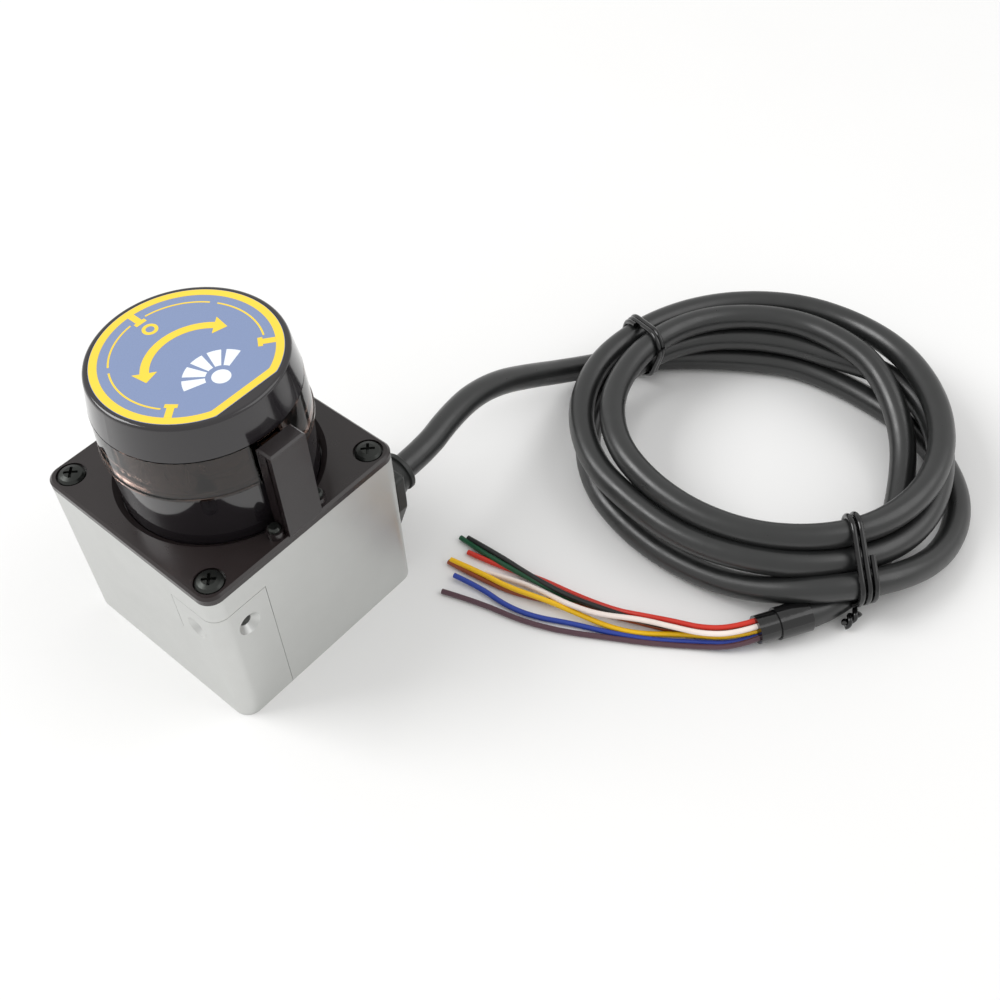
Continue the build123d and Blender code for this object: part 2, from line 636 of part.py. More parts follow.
def main():
    os.makedirs("parts", exist_ok=True)
    save("housing", housing())
    save("corner_block", corner_block())
    save("base_cover", base_cover())
    save("base_screws", base_screws())
    save("top_plate", top_plate())
    save("top_screws", top_screws())
    save("dome_skirt", dome_skirt())
    save("skirt_gasket", skirt_gasket())
    save("optical_window", optical_window())
    save("top_cap", top_cap())
    save("cap_label", cap_label())
    save("post_duct", post_duct())
    save("post_cover", post_cover())
    save("post_screws", post_screws())
    save("power_board", power_board())
    save("main_board", main_board())
    save("board_chips", board_chips())
    save("board_spacers", board_spacers())
    save("cable_connector", cable_connector())
    save("inner_harness", inner_harness())
    save("motor_chassis", motor_chassis())
    save("chassis_screws", chassis_screws())
    save("bearing_tube", bearing_tube())
    save("lower_bearing", bearing(30.2))
    save("upper_bearing", bearing(37.0))
    save("rotor_hub", rotor_hub())
    save("rotor_magnet", rotor_magnet())
    save("stator_core", stator_core())
    save("stator_coils", stator_coils())
    save("encoder_disc", encoder_disc())
    save("encoder_sensor", encoder_sensor())
    save("receiver_board", receiver_board())
    save("photodiode", photodiode())
    save("receive_lens", receive_lens())
    save("mirror_turret", mirror_turret())
    save("receive_mirror", receive_mirror())
    save("emit_mirror", emit_mirror())
    save("emitter_board", emitter_board())
    save("laser_diode", laser_diode())
    save("collimator_barrel", collimator_barrel())
    save("collimator_lens", collimator_lens())
    save("emitter_flex", emitter_flex())
    save("strain_relief_flange", strain_relief_flange())
    save("strain_relief_boot", strain_relief_boot())
    save("signal_cable", signal_cable())
    save("cable_coil", cable_coil())
    save("cable_tail", cable_tail())
    save("upper_tie", wire_tie(UPPER_TIE_AZ))
    save("lower_tie", wire_tie(LOWER_TIE_AZ))
    save("end_sleeve", end_sleeve())
    for index, colour in enumerate(LEAD_COLOURS):
        save("lead_" + colour, tube("lead_" + colour, lead_points(index), LEAD_D))


main()
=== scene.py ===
import json
import math

import bpy
from mathutils import Matrix, Vector
from mathutils.geometry import convex_hull_2d


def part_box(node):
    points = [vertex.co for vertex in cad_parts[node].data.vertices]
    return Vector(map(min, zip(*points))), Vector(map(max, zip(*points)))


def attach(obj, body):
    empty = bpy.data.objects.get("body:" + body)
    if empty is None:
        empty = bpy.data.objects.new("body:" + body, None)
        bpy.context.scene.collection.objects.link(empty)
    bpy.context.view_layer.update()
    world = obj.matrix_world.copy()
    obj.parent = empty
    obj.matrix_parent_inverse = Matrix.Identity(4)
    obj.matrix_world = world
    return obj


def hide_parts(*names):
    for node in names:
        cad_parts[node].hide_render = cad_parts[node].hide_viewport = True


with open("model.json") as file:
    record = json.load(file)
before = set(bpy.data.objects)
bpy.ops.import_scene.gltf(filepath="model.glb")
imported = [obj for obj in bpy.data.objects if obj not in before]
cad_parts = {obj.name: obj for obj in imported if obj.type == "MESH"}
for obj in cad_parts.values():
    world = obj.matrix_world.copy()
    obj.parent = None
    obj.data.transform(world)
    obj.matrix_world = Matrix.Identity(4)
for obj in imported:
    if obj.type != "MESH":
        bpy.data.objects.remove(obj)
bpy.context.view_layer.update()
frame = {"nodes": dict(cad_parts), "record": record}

MM = 0.001
BODY = "scanner_body"

# ---------------------------------------------------------------- camera


def add_camera():
    """Above the scanner's rear corner, looking down at it and at its cable.

    Its place, axes and lens come from a fit to the housing in the photograph.
    """
    data = bpy.data.cameras.new("camera")
    data.sensor_width = 36.0
    data.lens = 45.46
    data.clip_start = 0.01
    right = Vector((-0.65087, 0.75838, -0.03492))
    up = Vector((-0.59362, -0.47971, 0.64613))
    ahead = Vector((-0.47326, -0.44128, -0.76243))
    turn = Matrix((right, up, -ahead)).transposed().to_4x4()
    camera = bpy.data.objects.new("camera", data)
    camera.matrix_world = Matrix.Translation((0.08731, 0.157123, 0.225711)) @ turn
    bpy.context.scene.collection.objects.link(camera)
    bpy.context.scene.camera = camera


add_camera()

# ---------------------------------------------------------------- cords

CABLE_D = 0.006
LEAD_D = 0.0012
COIL_C = Vector((-0.104, 0.068, 0.0))
COIL_STEP = 20            # degrees between the points of the turns
COIL_START = -136         # azimuth where the lead-in joins the first turn
COIL_INSIDE = 0.024       # no strand of the coil is nearer to its centre than this
COIL_OUTSIDE = 0.052      # and none is farther out than this

TIE_WRAPS = 2.4
TIE_STEPS = 40            # points in one wrap of a tie
TIE_MIDDLE = 0.039        # distance from the coil's centre where a slanted tie is on its azimuth
ROUND_STEPS = 32          # points round a strand when a tie is fitted to it
TWIST_STEPS = 34          # points along each wire of the twisted end

# From inside the boot, level at first, then down to the floor beside the coil
LEAD_IN = [
    (-0.0315, 0.0165, 0.0215), (-0.0407, 0.0165, 0.0215), (-0.0495, 0.0146, 0.0218),
    (-0.0595, 0.0129, 0.0206), (-0.0695, 0.0125, 0.0172), (-0.0795, 0.0132, 0.0120),
    (-0.0885, 0.0144, 0.0072), (-0.0973, 0.0174, 0.0042), (-0.1055, 0.0222, 0.0031),
    (-0.1135, 0.0300, 0.0030), (-0.1202, 0.0384, 0.0030),
]
# The wound turns, clockwise, a point each COIL_STEP: distance from the coil's centre and height,
# in mm. Each follows its strand in the photograph, and the height keeps it on what lies below.
TURNS = [
    # first turn: on the floor, out to the far side and over the cable's own tail
    (30.5, 3), (29.5, 3), (28.5, 3), (29.5, 3), (33, 3), (39, 3), (44.5, 3), (47, 4), (47.5, 8.5),
    (46.5, 9), (44, 4.5), (42.5, 3), (43, 3), (44.5, 3.5), (44.5, 5), (42, 8), (38, 9), (35, 9),
    # second turn: on the first one, tight at the start and wide at the end
    (32, 9), (30.5, 9), (30, 9), (34, 9), (36.5, 9), (37.5, 9), (38.5, 9), (40.5, 9), (41.5, 10),
    (41.5, 11), (41.5, 11.5), (41.5, 11), (42, 11), (45, 11), (46.5, 12), (45.5, 13), (43, 13.5),
    (41.5, 13.5),
    # third turn: on top
    (41, 13), (40.5, 13), (39.5, 13), (38, 14), (36.5, 15), (36.5, 15), (37, 15), (37.5, 15), (37.5, 14.5),
    (37, 14.5), (37, 14.5), (37, 14.5), (37.5, 14.5), (39, 15), (39, 15.5), (37.5, 15.5), (36.5, 15.5),
    (35.5, 15),
    # last half turn: down inside the others and out under them
    (34, 14.5), (32.5, 14.5), (30, 15), (29.5, 14), (29, 11), (29.5, 7.5), (30.5, 4.5), (34, 3), (41, 3),
]
TAIL = [(-0.0718, 0.1027, 0.0032), (-0.0660, 0.0992, 0.0036)]

# The leads start side by side in the sleeve's mouth and end where they are cut
LEADS = {
    "violet": [
        (-0.0566, 0.0954, 0.0030), (-0.0520, 0.0925, 0.0018), (-0.0475, 0.0855, 0.0007),
        (-0.0421, 0.0776, 0.0007), (-0.0378, 0.0701, 0.0007), (-0.0325, 0.0609, 0.0007),
        (-0.0292, 0.0524, 0.0007), (-0.0272, 0.0425, 0.0007), (-0.0243, 0.0341, 0.0007),
    ],
    "blue": [
        (-0.0570, 0.0946, 0.0026), (-0.0525, 0.0915, 0.0016), (-0.0488, 0.0853, 0.0007),
        (-0.0428, 0.0771, 0.0007), (-0.0388, 0.0693, 0.0007), (-0.0359, 0.0621, 0.0007),
        (-0.0318, 0.0542, 0.0007), (-0.0302, 0.0473, 0.0007), (-0.0303, 0.0400, 0.0009),
        (-0.0290, 0.0335, 0.0012),
    ],
    "yellow": [
        (-0.0577, 0.0944, 0.0036), (-0.0530, 0.0905, 0.0022), (-0.0485, 0.0818, 0.0008),
        (-0.0427, 0.0746, 0.0007), (-0.0399, 0.0685, 0.0008), (-0.0378, 0.0606, 0.0016),
        (-0.0361, 0.0535, 0.0020), (-0.0337, 0.0455, 0.0020), (-0.0330, 0.0374, 0.0016),
        (-0.0318, 0.0300, 0.0012),
    ],
    "brown": [
        (-0.0578, 0.0933, 0.0031), (-0.0535, 0.0888, 0.0020), (-0.0478, 0.0795, 0.0007),
        (-0.0450, 0.0727, 0.0007), (-0.0418, 0.0646, 0.0007), (-0.0393, 0.0575, 0.0007),
        (-0.0357, 0.0514, 0.0007), (-0.0326, 0.0423, 0.0007), (-0.0313, 0.0297, 0.0007),
    ],
    "black": [
        (-0.0582, 0.0928, 0.0038), (-0.0535, 0.0880, 0.0026), (-0.0488, 0.0815, 0.0017),
        (-0.0446, 0.0729, 0.0020), (-0.0426, 0.0664, 0.0020), (-0.0401, 0.0573, 0.0019),
        (-0.0392, 0.0467, 0.0019), (-0.0394, 0.0378, 0.0015), (-0.0390, 0.0287, 0.0010),
    ],
    "green": [
        (-0.0585, 0.0937, 0.0028), (-0.0540, 0.0890, 0.0014), (-0.0485, 0.0800, 0.0007),
        (-0.0446, 0.0715, 0.0007), (-0.0421, 0.0645, 0.0008), (-0.0406, 0.0585, 0.0009),
        (-0.0394, 0.0524, 0.0014), (-0.0382, 0.0418, 0.0014), (-0.0379, 0.0331, 0.0010),
        (-0.0382, 0.0272, 0.0007),
    ],
    "red": [
        (-0.0584, 0.0931, 0.0052), (-0.0540, 0.0900, 0.0046), (-0.0505, 0.0850, 0.0038),
        (-0.0484, 0.0790, 0.0032), (-0.0454, 0.0718, 0.0025), (-0.0440, 0.0672, 0.0014),
        (-0.0422, 0.0585, 0.0007), (-0.0405, 0.0480, 0.0007), (-0.0375, 0.0395, 0.0007),
        (-0.0361, 0.0313, 0.0007),
    ],
    "white": [
        (-0.0577, 0.0942, 0.0050), (-0.0530, 0.0912, 0.0046), (-0.0492, 0.0860, 0.0040),
        (-0.0470, 0.0802, 0.0036), (-0.0442, 0.0732, 0.0034), (-0.0398, 0.0658, 0.0032),
        (-0.0380, 0.0592, 0.0028), (-0.0376, 0.0523, 0.0018), (-0.0371, 0.0457, 0.0008),
        (-0.0343, 0.0380, 0.0007),
    ],
}


def link(obj):
    """Puts a new object in the scene."""
    bpy.context.scene.collection.objects.link(obj)
    return obj


def route_curve(name, routes, steps, diameter):
    """Smooth open lines, one a route, with the route's points as control points."""
    curve = bpy.data.curves.new(name, "CURVE")
    curve.dimensions = "3D"
    for points in routes:
        spline = curve.splines.new("NURBS")
        spline.points.add(len(points) - 1)
        for place, point in zip(spline.points, points):
            place.co = (*point, 1.0)
            place.radius = diameter / 2
        spline.order_u = 3
        spline.use_endpoint_u = True
        spline.resolution_u = steps
    return link(bpy.data.objects.new(name, curve))


def thicken(obj, sides):
    """Gives a line its thickness: each of its points already holds half the diameter."""
    obj.data.bevel_depth = 1.0
    obj.data.bevel_resolution = sides
    obj.data.use_fill_caps = True


def coil_points():
    """The turns' points in metres, worked out from their distances and heights."""
    points = []
    for i, (distance, height) in enumerate(TURNS):
        turn = math.radians(COIL_START - i * COIL_STEP)
        points.append((COIL_C.x + MM * distance * math.cos(turn),
                       COIL_C.y + MM * distance * math.sin(turn), MM * height))
    return points


def line_points(obj):
    """The points along a curve's own line, read while it has no thickness."""
    mesh = bpy.data.meshes.new_from_object(obj)
    return [v.co.copy() for v in mesh.vertices]


def directions(azimuth):
    """Level directions at an azimuth in degrees: out from the centre, and along the turns."""
    turn = math.radians(azimuth)
    out = Vector((math.cos(turn), math.sin(turn), 0))
    return out, Vector((-out.y, out.x, 0))


def crossings(line, azimuth):
    """Where a line passes one side of the coil: distance out and height."""
    out, along = directions(azimuth)
    found = []
    for a, b in zip(line, line[1:]):
        side_a = (a - COIL_C).dot(along)
        side_b = (b - COIL_C).dot(along)
        if side_a * side_b > 0 or side_a == side_b:
            continue
        point = a.lerp(b, side_a / (side_a - side_b))
        distance = (point - COIL_C).dot(out)
        if COIL_INSIDE < distance < COIL_OUTSIDE:
            found.append((distance, point.z))
    return found


def round_outline(centres, radius, count):
    """Evenly spaced points on the tightest loop round several cords."""
    cloud = []
    for distance, height in centres:
        for k in range(ROUND_STEPS):
            turn = math.tau * k / ROUND_STEPS
            cloud.append(Vector((distance + radius * math.cos(turn), height + radius * math.sin(turn))))
    hull = [cloud[k] for k in convex_hull_2d(cloud)]
    hull.append(hull[0])
    lengths = [0.0]
    for a, b in zip(hull, hull[1:]):
        lengths.append(lengths[-1] + (b - a).length)
    loop = []
    piece = 0
    for k in range(count):
        goal = lengths[-1] * k / count
        while lengths[piece + 1] < goal:
            piece += 1
        share = (goal - lengths[piece]) / (lengths[piece + 1] - lengths[piece])
        loop.append(hull[piece].lerp(hull[piece + 1], share))
    return loop


def wire_tie(name, line, azimuth, wire, pitch, slant):
    """A thin plastic-covered wire wound tightly round the strands of the coil.

    It moves along the coil by pitch each wrap, and by slant for each metre farther out.
    """
    out, along = directions(azimuth)
    loop = round_outline(crossings(line, azimuth), CABLE_D / 2 + wire / 2, TIE_STEPS)
    floor_height = wire * 0.55        # just clear of the floor
    points = []
    for k in range(int(TIE_STEPS * TIE_WRAPS) + 1):
        place = loop[k % TIE_STEPS]
        shift = pitch * (k / TIE_STEPS - TIE_WRAPS / 2) + slant * (place.x - TIE_MIDDLE)
        height = max(place.y, floor_height)
        points.append(COIL_C + out * place.x + along * shift + Vector((0, 0, height)))
    tie = route_curve(name, [points], 3, wire)
    thicken(tie, 4)
    return tie


def twisted_end(name, start, ahead, length, wire, turns):
    """The tie's two ends, twisted together and bent down to the floor."""
    ahead = ahead.normalized()
    side = ahead.cross(Vector((0, 0, 1))).normalized()
    rise = side.cross(ahead)
    routes = []
    for phase in (0.0, math.pi):
        points = []
        for k in range(TWIST_STEPS):
            share = k / (TWIST_STEPS - 1)
            turn = math.tau * turns * share + phase
            swing = side * math.cos(turn) + rise * math.sin(turn)
            point = start + ahead * length * share + swing * wire / 2
            point.z = max(point.z, wire / 2)
            points.append(point)
        routes.append(points)
    end = route_curve(name, routes, 3, wire)
    thicken(end, 4)
    return end


cable = route_curve("cable", [LEAD_IN + coil_points() + TAIL], 10, CABLE_D)
cable_line = line_points(cable)
thicken(cable, 8)
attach(cable, BODY)
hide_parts("signal_cable", "cable_coil", "cable_tail")

tie_up = wire_tie("tie_up", cable_line, azimuth=-92, wire=0.0012, pitch=0.0012, slant=-0.375)
tie_low = wire_tie("tie_low", cable_line, azimuth=57, wire=0.0013, pitch=0.0016, slant=-0.15)
tie_twist = twisted_end("tie_twist", start=Vector((-0.0758, 0.1075, 0.0022)),
                        ahead=Vector((0.95, -0.1, -0.12)), length=0.0045, wire=0.0012, turns=1.2)
for piece, node in ((tie_up, "upper_tie"), (tie_low, "lower_tie"), (tie_twist, "lower_tie")):
    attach(piece, BODY)
    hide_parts(node)

leads = {}
for colour, points in LEADS.items():
    lead = route_curve("wire_" + colour, [points], 12, LEAD_D)
    thicken(lead, 5)
    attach(lead, BODY)
    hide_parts("lead_" + colour)
    leads[colour] = lead

# ---------------------------------------------------------------- materials


def shade(red, green, blue):
    """A screen colour, 0 to 255, as the shader's linear one."""
    out = []
    for value in (red, green, blue):
        value = value / 255
        out.append(value / 12.92 if value <= 0.04045 else ((value + 0.055) / 1.055) ** 2.4)
    return (*out, 1.0)


def start_material(name, colour, rough, metallic=0.0, specular=0.5, coat=0.0, coat_rough=0.03):
    """A material and its shader, with the values that are the same all over the surface."""
    mat = bpy.data.materials.new(name)
    mat.use_nodes = True
    bsdf = mat.node_tree.nodes["Principled BSDF"]
    bsdf.inputs["Base Color"].default_value = colour
    bsdf.inputs["Roughness"].default_value = rough
    bsdf.inputs["Metallic"].default_value = metallic
    bsdf.inputs["Specular IOR Level"].default_value = specular
    bsdf.inputs["Coat Weight"].default_value = coat
    bsdf.inputs["Coat Roughness"].default_value = coat_rough
    mat.diffuse_color = colour
    return mat, bsdf


def place_node(mat, stretch=(1, 1, 1)):
    """Object coordinates in metres, stretched along some axes."""
    nodes = mat.node_tree.nodes
    coords = nodes.new("ShaderNodeTexCoord")
    mapping = nodes.new("ShaderNodeMapping")
    mapping.inputs["Scale"].default_value = stretch
    mat.node_tree.links.new(coords.outputs["Object"], mapping.inputs["Vector"])
    return mapping.outputs["Vector"]


def noise(mat, scale, detail, stretch=(1, 1, 1)):
    """A soft random pattern, from 0 to 1, with scale cells to the metre."""
    tex = mat.node_tree.nodes.new("ShaderNodeTexNoise")
    tex.inputs["Scale"].default_value = scale
    tex.inputs["Detail"].default_value = detail
    tex.inputs["Roughness"].default_value = 0.55
    mat.node_tree.links.new(place_node(mat, stretch), tex.inputs["Vector"])
    return tex.outputs["Fac"]


def remap(mat, source, low, high):
    """The middle of a noise pattern's range, spread over a range of its own."""
    node = mat.node_tree.nodes.new("ShaderNodeMapRange")
    node.inputs["From Min"].default_value = 0.3
    node.inputs["From Max"].default_value = 0.7
    node.inputs["To Min"].default_value = low
    node.inputs["To Max"].default_value = high
    mat.node_tree.links.new(source, node.inputs["Value"])
    return node.outputs["Result"]


def mottle(mat, bsdf, source, first, second):
    """The base colour drifts between two close ones."""
    mix = mat.node_tree.nodes.new("ShaderNodeMix")
    mix.data_type = "RGBA"
    mix.inputs["A"].default_value = first
    mix.inputs["B"].default_value = second
    mat.node_tree.links.new(remap(mat, source, 0.0, 1.0), mix.inputs["Factor"])
    mat.node_tree.links.new(mix.outputs["Result"], bsdf.inputs["Base Color"])


def uneven_gloss(mat, bsdf, source, low, high):
    """The roughness drifts between two values."""
    mat.node_tree.links.new(remap(mat, source, low, high), bsdf.inputs["Roughness"])


def relief(mat, bsdf, source, strength, depth):
    """A fine surface relief, depth in metres."""
    bump = mat.node_tree.nodes.new("ShaderNodeBump")
    bump.inputs["Strength"].default_value = strength
    bump.inputs["Distance"].default_value = depth
    mat.node_tree.links.new(source, bump.inputs["Height"])
    mat.node_tree.links.new(bump.outputs["Normal"], bsdf.inputs["Normal"])


def tinted(colour, factor):
    """A colour made darker or lighter."""
    return (colour[0] * factor, colour[1] * factor, colour[2] * factor, 1.0)


def surface(name, colour, rough, drift=0.12, spread=0.04, grain=4000, strength=0.25, depth=0.00002,
            stretch=(1, 1, 1), broad=90, **more):
    """A moulded or machined finish: slow drift in colour and gloss over a fine grain.

    drift is the share by which the colour varies, spread the same for the roughness, as a value.
    """
    mat, bsdf = start_material(name, colour, rough, **more)
    mottle(mat, bsdf, noise(mat, broad, 4.0), tinted(colour, 1 - drift), tinted(colour, 1 + drift))
    uneven_gloss(mat, bsdf, noise(mat, broad * 2.3, 5.0, stretch), rough - spread, rough + spread)
    relief(mat, bsdf, noise(mat, grain, 2.0, stretch), strength, depth)
    return mat


def window_material():
    """Red-brown infrared plastic: glossy and see-through, and dark because of its deep tint."""
    colour = (0.26, 0.17, 0.14, 1.0)
    mat, bsdf = start_material("ir_window", colour, 0.05)
    bsdf.inputs["Transmission Weight"].default_value = 1.0
    bsdf.inputs["IOR"].default_value = 1.5
    mottle(mat, bsdf, noise(mat, 60, 3.0), tinted(colour, 0.9), tinted(colour, 1.1))
    uneven_gloss(mat, bsdf, noise(mat, 300, 4.0), 0.03, 0.07)
    relief(mat, bsdf, noise(mat, 900, 2.0), 0.01, 0.00001)
    return mat


def glass_material():
    """Clear coated glass of the two lenses."""
    mat, bsdf = start_material("lens_glass", (0.85, 0.9, 0.95, 1.0), 0.03, coat=0.5)
    bsdf.inputs["Transmission Weight"].default_value = 0.9
    uneven_gloss(mat, bsdf, noise(mat, 500, 3.0), 0.01, 0.05)
    return mat


def label_material():
    """Printed film: a blue-grey ink with a faint print screen under a clear layer."""
    colour = shade(129, 146, 184)
    mat, bsdf = start_material("label_print", colour, 0.42, coat=0.25, coat_rough=0.18)
    mottle(mat, bsdf, noise(mat, 5200, 1.0), tinted(colour, 0.95), tinted(colour, 1.05))
    uneven_gloss(mat, bsdf, noise(mat, 260, 4.0), 0.36, 0.48)
    relief(mat, bsdf, noise(mat, 2400, 2.0), 0.08, 0.00001)
    return mat


def circuit_material():
    """Green solder mask with lighter copper tracks under it."""
    colour = (0.012, 0.085, 0.03, 1.0)
    mat, bsdf = start_material("circuit_board", colour, 0.35, coat=0.2)
    brick = mat.node_tree.nodes.new("ShaderNodeTexBrick")
    brick.inputs["Scale"].default_value = 320
    brick.inputs["Mortar Size"].default_value = 0.06
    brick.inputs["Color1"].default_value = colour
    brick.inputs["Color2"].default_value = tinted(colour, 0.8)
    brick.inputs["Mortar"].default_value = (0.03, 0.16, 0.05, 1.0)
    mat.node_tree.links.new(place_node(mat), brick.inputs["Vector"])
    mat.node_tree.links.new(brick.outputs["Color"], bsdf.inputs["Base Color"])
    relief(mat, bsdf, brick.outputs["Fac"], 0.2, 0.00003)
    return mat


FINISHES = {
    "housing_metal": surface("housing_metal", shade(205, 206, 204), 0.42, drift=0.015, spread=0.03,
                             grain=7000, strength=0.10, depth=0.00001, metallic=0.9),
    "base_metal": surface("base_metal", shade(205, 205, 202), 0.45, drift=0.03, grain=6000, strength=0.15,
                          metallic=0.85),
    "screw_steel": surface("screw_steel", shade(190, 188, 184), 0.3, drift=0.05, grain=9000, metallic=1.0),
    "black_plate": surface("black_plate", shade(38, 31, 31), 0.30, drift=0.10, grain=5200,
                           strength=0.12, depth=0.00001, coat=0.15, coat_rough=0.12),
    "black_screw": surface("black_screw", shade(58, 60, 58), 0.30, drift=0.15, spread=0.08, grain=3000,
                           strength=0.3, metallic=0.75),
    "gloss_black": surface("gloss_black", shade(30, 27, 30), 0.10, drift=0.05, spread=0.03, grain=900,
                           strength=0.03, depth=0.00001, coat=0.6),
    "cap_black": surface("cap_black", shade(34, 31, 34), 0.14, drift=0.05, spread=0.03, grain=1200,
                         strength=0.04, depth=0.00001, coat=0.5, coat_rough=0.05),
    "rubber_black": surface("rubber_black", shade(24, 24, 25), 0.7, grain=3500, strength=0.3),
    "ir_window": window_material(),
    "label_print": label_material(),
    "post_black": surface("post_black", shade(34, 28, 29), 0.22, drift=0.08, grain=5200,
                          strength=0.10, depth=0.00001, coat=0.15, coat_rough=0.10),
    "circuit_board": circuit_material(),
    "chip_black": surface("chip_black", shade(30, 30, 32), 0.55, grain=6000, strength=0.3),
    "spacer_brass": surface("spacer_brass", shade(205, 170, 95), 0.28, metallic=1.0, grain=5000),
    "connector_plastic": surface("connector_plastic", shade(235, 230, 214), 0.5, grain=3500),
    "cable_jacket": surface("cable_jacket", shade(31, 32, 32), 0.33, spread=0.06, grain=2600, strength=0.30,
                            broad=140, specular=0.75),
    "inner_metal": surface("inner_metal", shade(185, 187, 188), 0.35, metallic=1.0, grain=6000),
    "turned_steel": surface("turned_steel", shade(196, 196, 194), 0.24, metallic=1.0, grain=2500,
                            stretch=(1, 1, 12)),
    "bearing_steel": surface("bearing_steel", shade(206, 207, 208), 0.16, metallic=1.0, grain=4000),
    "rotor_plastic": surface("rotor_plastic", shade(96, 92, 70), 0.42, grain=4200),
    "magnet_dark": surface("magnet_dark", shade(56, 56, 58), 0.45, grain=3000, metallic=0.4),
    "core_iron": surface("core_iron", shade(120, 118, 116), 0.40, metallic=0.9, grain=2500,
                         stretch=(1, 1, 14)),
    "copper_winding": surface("copper_winding", shade(190, 98, 52), 0.30, metallic=1.0, grain=2200,
                              strength=0.6, depth=0.00006, stretch=(1, 1, 9)),
    "encoder_steel": surface("encoder_steel", shade(170, 172, 175), 0.25, metallic=1.0, grain=5000),
    "lens_glass": glass_material(),
    "mirror_coat": surface("mirror_coat", shade(214, 196, 140), 0.10, metallic=1.0, grain=900, strength=0.02),
    # flex_film: the film's own amber is darkened to a dark brown here, as painted shade for the dark space
    # inside the window where it runs up the post
    "flex_film": surface("flex_film", shade(52, 34, 22), 0.32, grain=2600, coat=0.3),
    "relief_rubber": surface("relief_rubber", shade(38, 40, 39), 0.42, spread=0.07, grain=2400,
                             strength=0.35, depth=0.00003),
    "tie_plastic": surface("tie_plastic", shade(12, 12, 13), 0.14, drift=0.10, spread=0.05, grain=1600,
                           strength=0.15, coat=0.3),
    "sleeve_shrink": surface("sleeve_shrink", shade(10, 10, 11), 0.14, drift=0.10, spread=0.06, grain=700,
                             strength=0.35, depth=0.00006, coat=0.4, coat_rough=0.06),
}
LEAD_SHADES = {
    "black": shade(30, 32, 31), "green": shade(12, 78, 48), "red": shade(206, 48, 32),
    "white": shade(246, 232, 224), "yellow": shade(246, 194, 8), "brown": shade(150, 72, 36),
    "blue": shade(38, 66, 160), "violet": shade(84, 56, 66),
}
for colour, tone in LEAD_SHADES.items():
    FINISHES["lead_" + colour] = surface("lead_" + colour, tone, 0.34, drift=0.06, spread=0.06,
                                         grain=3000, strength=0.2, depth=0.00001)


def dress_nodes():
    """Each CAD node's material slots get the finish of its slot in the record."""
    for entry in frame["record"]["subparts"]:
        finish = FINISHES[entry["material_slot"]]
        mesh = frame["nodes"][entry["node"]].data
        if not mesh.materials:
            mesh.materials.append(finish)
        for k in range(len(mesh.materials)):
            mesh.materials[k] = finish


dress_nodes()
cable.data.materials.append(FINISHES["cable_jacket"])
for piece in (tie_up, tie_low, tie_twist):
    piece.data.materials.append(FINISHES["tie_plastic"])
for colour, lead in leads.items():
    lead.data.materials.append(FINISHES["lead_" + colour])

# ---------------------------------------------------------------- label print

LABEL_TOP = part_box("cap_label")[1][2]
LABEL_R = 0.01785
LABEL_FLAT = 0.01635      # from the axis to the straight edge at the rear
PRINT_H = 0.00002         # a film reaches this far over and under the label's face
BORDER_OUTER = 0.0001     # how far the border's two sides lie inside the label's edge
BORDER_INNER = 0.00165
TICK_AZIMUTHS = (-90, 38, 142)
THIN_R = 0.0142           # the thin arcs between the border and the field
THIN_W = 0.00036
THIN_SPANS = ((-83, -36), (-30, 31), (149, 206), (212, 263))
RING_C = (0.0, -0.0105)
RING_R = 0.0012
RING_W = 0.0007
ARROW_C = (0.0, 0.0045)   # centre of the double-headed arc
ARROW_R = 0.0105
ARROW_W = 0.0017
ARROW_SPAN = 52           # degrees from the front to where a head starts, and to its tip
ARROW_TIP = 66
HEAD_HALF = 0.0023        # half a head's width
FAN_C = (0.0, 0.0095)
FAN_AZIMUTHS = (-150, -120, -90, -60, -30)
BLADE_R = 0.0050          # middle of a blade
BLADE_LENGTH = 0.0042
BLADE_HALF = 11           # half a blade's angle
FAN_HUB_R = 0.0018


def ink(name, tone):
    """Printing ink under the label's clear layer."""
    return surface(name, tone, 0.45, drift=0.03, spread=0.04, grain=2400, strength=0.06, depth=0.00001,
                   coat=0.25, coat_rough=0.18)


def strip(outer, inner):
    """Quads between two outlines of the same number of points, closed or not."""
    closed = math.dist(outer[0], outer[-1]) < 1e-7
    if closed:
        outer = outer[:-1]
        inner = inner[:-1]
    count = len(outer)
    faces = []
    for k in range(count if closed else count - 1):
        ahead = (k + 1) % count
        faces.append((k, ahead, count + ahead, count + k))
    return outer + inner, faces


def patch(outline):
    """One face inside an outline."""
    return list(outline), [tuple(range(len(outline)))]


def arc(radius, start, end, count, centre=(0.0, 0.0)):
    """Points along an arc, from one azimuth to the other, both in degrees."""
    points = []
    for k in range(count + 1):
        turn = math.radians(start + (end - start) * k / count)
        points.append((centre[0] + radius * math.cos(turn), centre[1] + radius * math.sin(turn)))
    return points


def flatted(points, limit):
    """An outline cut off by the flat at the rear of the cap."""
    return [(x, min(y, limit)) for x, y in points]


def band(radius, width, start, end, count, centre=(0.0, 0.0)):
    """A curved strip of even width on both sides of an arc."""
    return strip(arc(radius + width / 2, start, end, count, centre),
                 arc(radius - width / 2, start, end, count, centre))


def tick(azimuth):
    """A short T-shaped mark that points in from the border."""
    out, side = directions(azimuth)
    root, bar, tip = 0.01618, 0.0138, 0.0129
    stem_half, bar_half = 0.0007, 0.0012
    corners = [(root, -stem_half), (root, stem_half), (bar, stem_half), (bar, bar_half),
               (tip, bar_half), (tip, -bar_half), (bar, -bar_half), (bar, -stem_half)]
    return patch([tuple((out * reach + side * aside).xy) for reach, aside in corners])


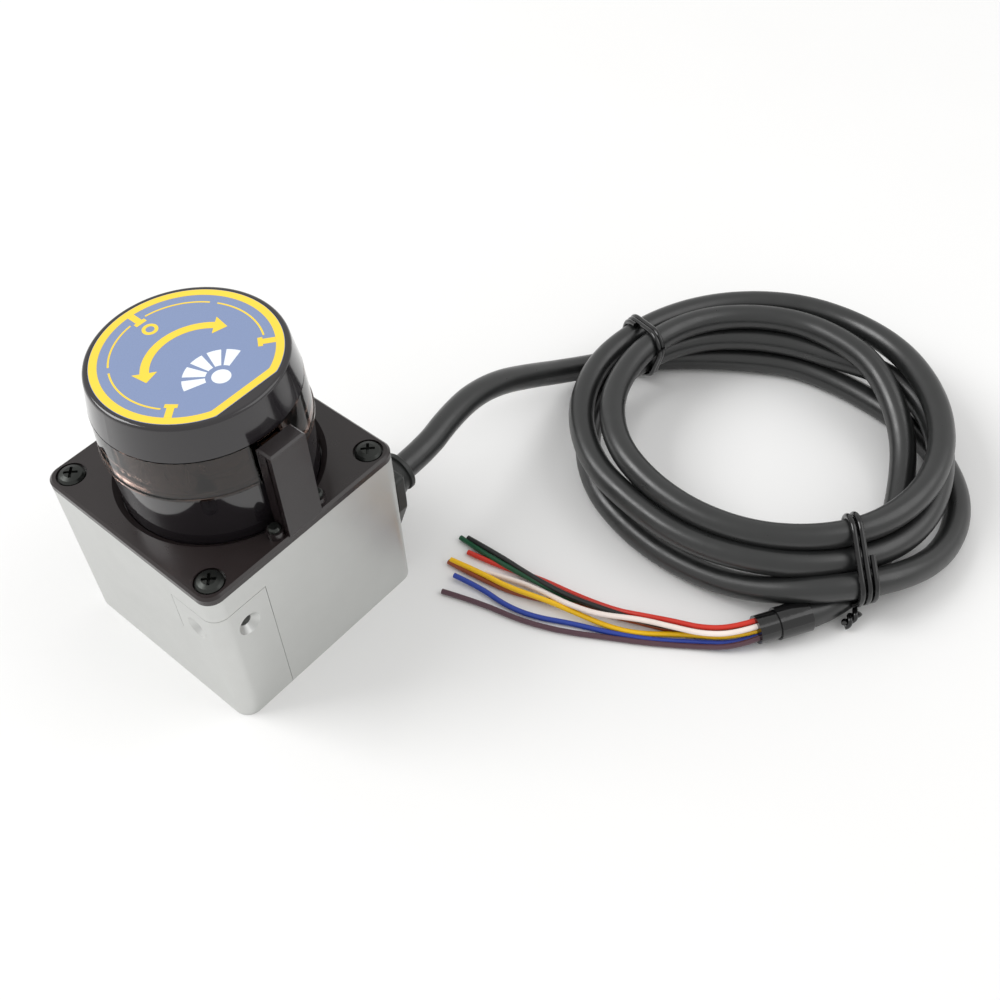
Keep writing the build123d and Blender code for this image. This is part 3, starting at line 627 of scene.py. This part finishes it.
def print_layer(name, shapes, finish):
    """Ink shapes as thin closed films lying on the label."""
    verts = []
    faces = []
    for outline, parts in shapes:
        low = len(verts)
        verts += [(x, y, LABEL_TOP - PRINT_H) for x, y in outline]
        high = len(verts)
        verts += [(x, y, LABEL_TOP + PRINT_H) for x, y in outline]
        sides = set()
        for part in parts:
            faces.append(tuple(high + k for k in part))
            faces.append(tuple(low + k for k in reversed(part)))
            sides.update(zip(part, part[1:] + part[:1]))
        for a, b in sorted(sides):
            if (b, a) not in sides:
                faces.append((low + a, low + b, high + b, high + a))
    mesh = bpy.data.meshes.new(name)
    mesh.from_pydata(verts, [], faces)
    mesh.validate()
    mesh.update()
    mesh.materials.append(finish)
    piece = link(bpy.data.objects.new(name, mesh))
    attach(piece, BODY)


def border():
    """The yellow rim, with the label's straight edge at the rear."""
    outer = flatted(arc(LABEL_R - BORDER_OUTER, 0, 360, 144), LABEL_FLAT - BORDER_OUTER)
    inner = flatted(arc(LABEL_R - BORDER_INNER, 0, 360, 144), LABEL_FLAT - BORDER_INNER)
    return strip(outer, inner)


def arrow_head(side):
    """One head of the double-headed arc: side is 1 towards +X and -1 towards -X."""
    tip = directions(side * ARROW_TIP - 90)[0].xy
    base = directions(side * ARROW_SPAN - 90)[0].xy
    centre = Vector(ARROW_C)
    ends = [centre + tip * ARROW_R, centre + base * (ARROW_R + HEAD_HALF),
            centre + base * (ARROW_R - HEAD_HALF)]
    if side > 0:
        ends.reverse()
    return patch([tuple(end) for end in ends])


def fan_blade(azimuth):
    """One blade of the white fan that stands for the scanned field."""
    return band(BLADE_R, BLADE_LENGTH, azimuth - BLADE_HALF, azimuth + BLADE_HALF, 6, FAN_C)


yellow_ink = ink("ink_yellow", shade(252, 216, 62))
white_ink = ink("ink_white", shade(240, 246, 252))
yellow_shapes = [border()]
for azimuth in TICK_AZIMUTHS:
    yellow_shapes.append(tick(azimuth))
for start, end in THIN_SPANS:
    yellow_shapes.append(band(THIN_R, THIN_W, start, end, 24))
yellow_shapes.append(band(RING_R, RING_W, 0, 360, 36, RING_C))
yellow_shapes.append(band(ARROW_R, ARROW_W, -90 - ARROW_SPAN, -90 + ARROW_SPAN, 40, ARROW_C))
for side in (1, -1):
    yellow_shapes.append(arrow_head(side))
print_layer("label_yellow", yellow_shapes, yellow_ink)
white_shapes = [fan_blade(azimuth) for azimuth in FAN_AZIMUTHS]
white_shapes.append(patch(arc(FAN_HUB_R, 0, 350, 35, FAN_C)))
print_layer("label_white", white_shapes, white_ink)

# ---------------------------------------------------------------- studio


def add_floor():
    """A pale level floor with a faint paper grain."""
    mesh = bpy.data.meshes.new("floor")
    reach = 3.0
    corners = [(-reach, -reach, 0), (reach, -reach, 0), (reach, reach, 0), (-reach, reach, 0)]
    mesh.from_pydata(corners, [], [(0, 1, 2, 3)])
    mat, bsdf = start_material("floor_paper", (0.90, 0.90, 0.895, 1.0), 0.55, specular=0.3)
    mottle(mat, bsdf, noise(mat, 6, 3.0), (0.895, 0.893, 0.888, 1.0), (0.91, 0.91, 0.908, 1.0))
    uneven_gloss(mat, bsdf, noise(mat, 40, 3.0), 0.5, 0.6)
    mesh.materials.append(mat)
    link(bpy.data.objects.new("floor", mesh))


def add_light(name, place, size, power):
    """A square lamp that looks at the space between scanner and coil."""
    data = bpy.data.lights.new(name, "AREA")
    data.size = size
    data.energy = power
    light = bpy.data.objects.new(name, data)
    ahead = Vector((-0.03, 0.04, 0.02)) - Vector(place)
    light.rotation_euler = ahead.to_track_quat("-Z", "Y").to_euler()
    light.location = place
    link(light)


def add_world():
    """Even, slightly warm light from all round."""
    world = bpy.data.worlds.new("studio")
    bpy.context.scene.world = world
    world.use_nodes = True
    back = world.node_tree.nodes["Background"]
    back.inputs["Color"].default_value = (1.0, 0.998, 0.99, 1.0)
    back.inputs["Strength"].default_value = 0.72


add_floor()
add_world()
add_light("key", place=(0.55, -0.75, 0.95), size=0.7, power=9.0)
add_light("fill", place=(-0.6, 0.7, 0.9), size=0.9, power=3.0)
bpy.context.scene.view_settings.view_transform = "Standard"
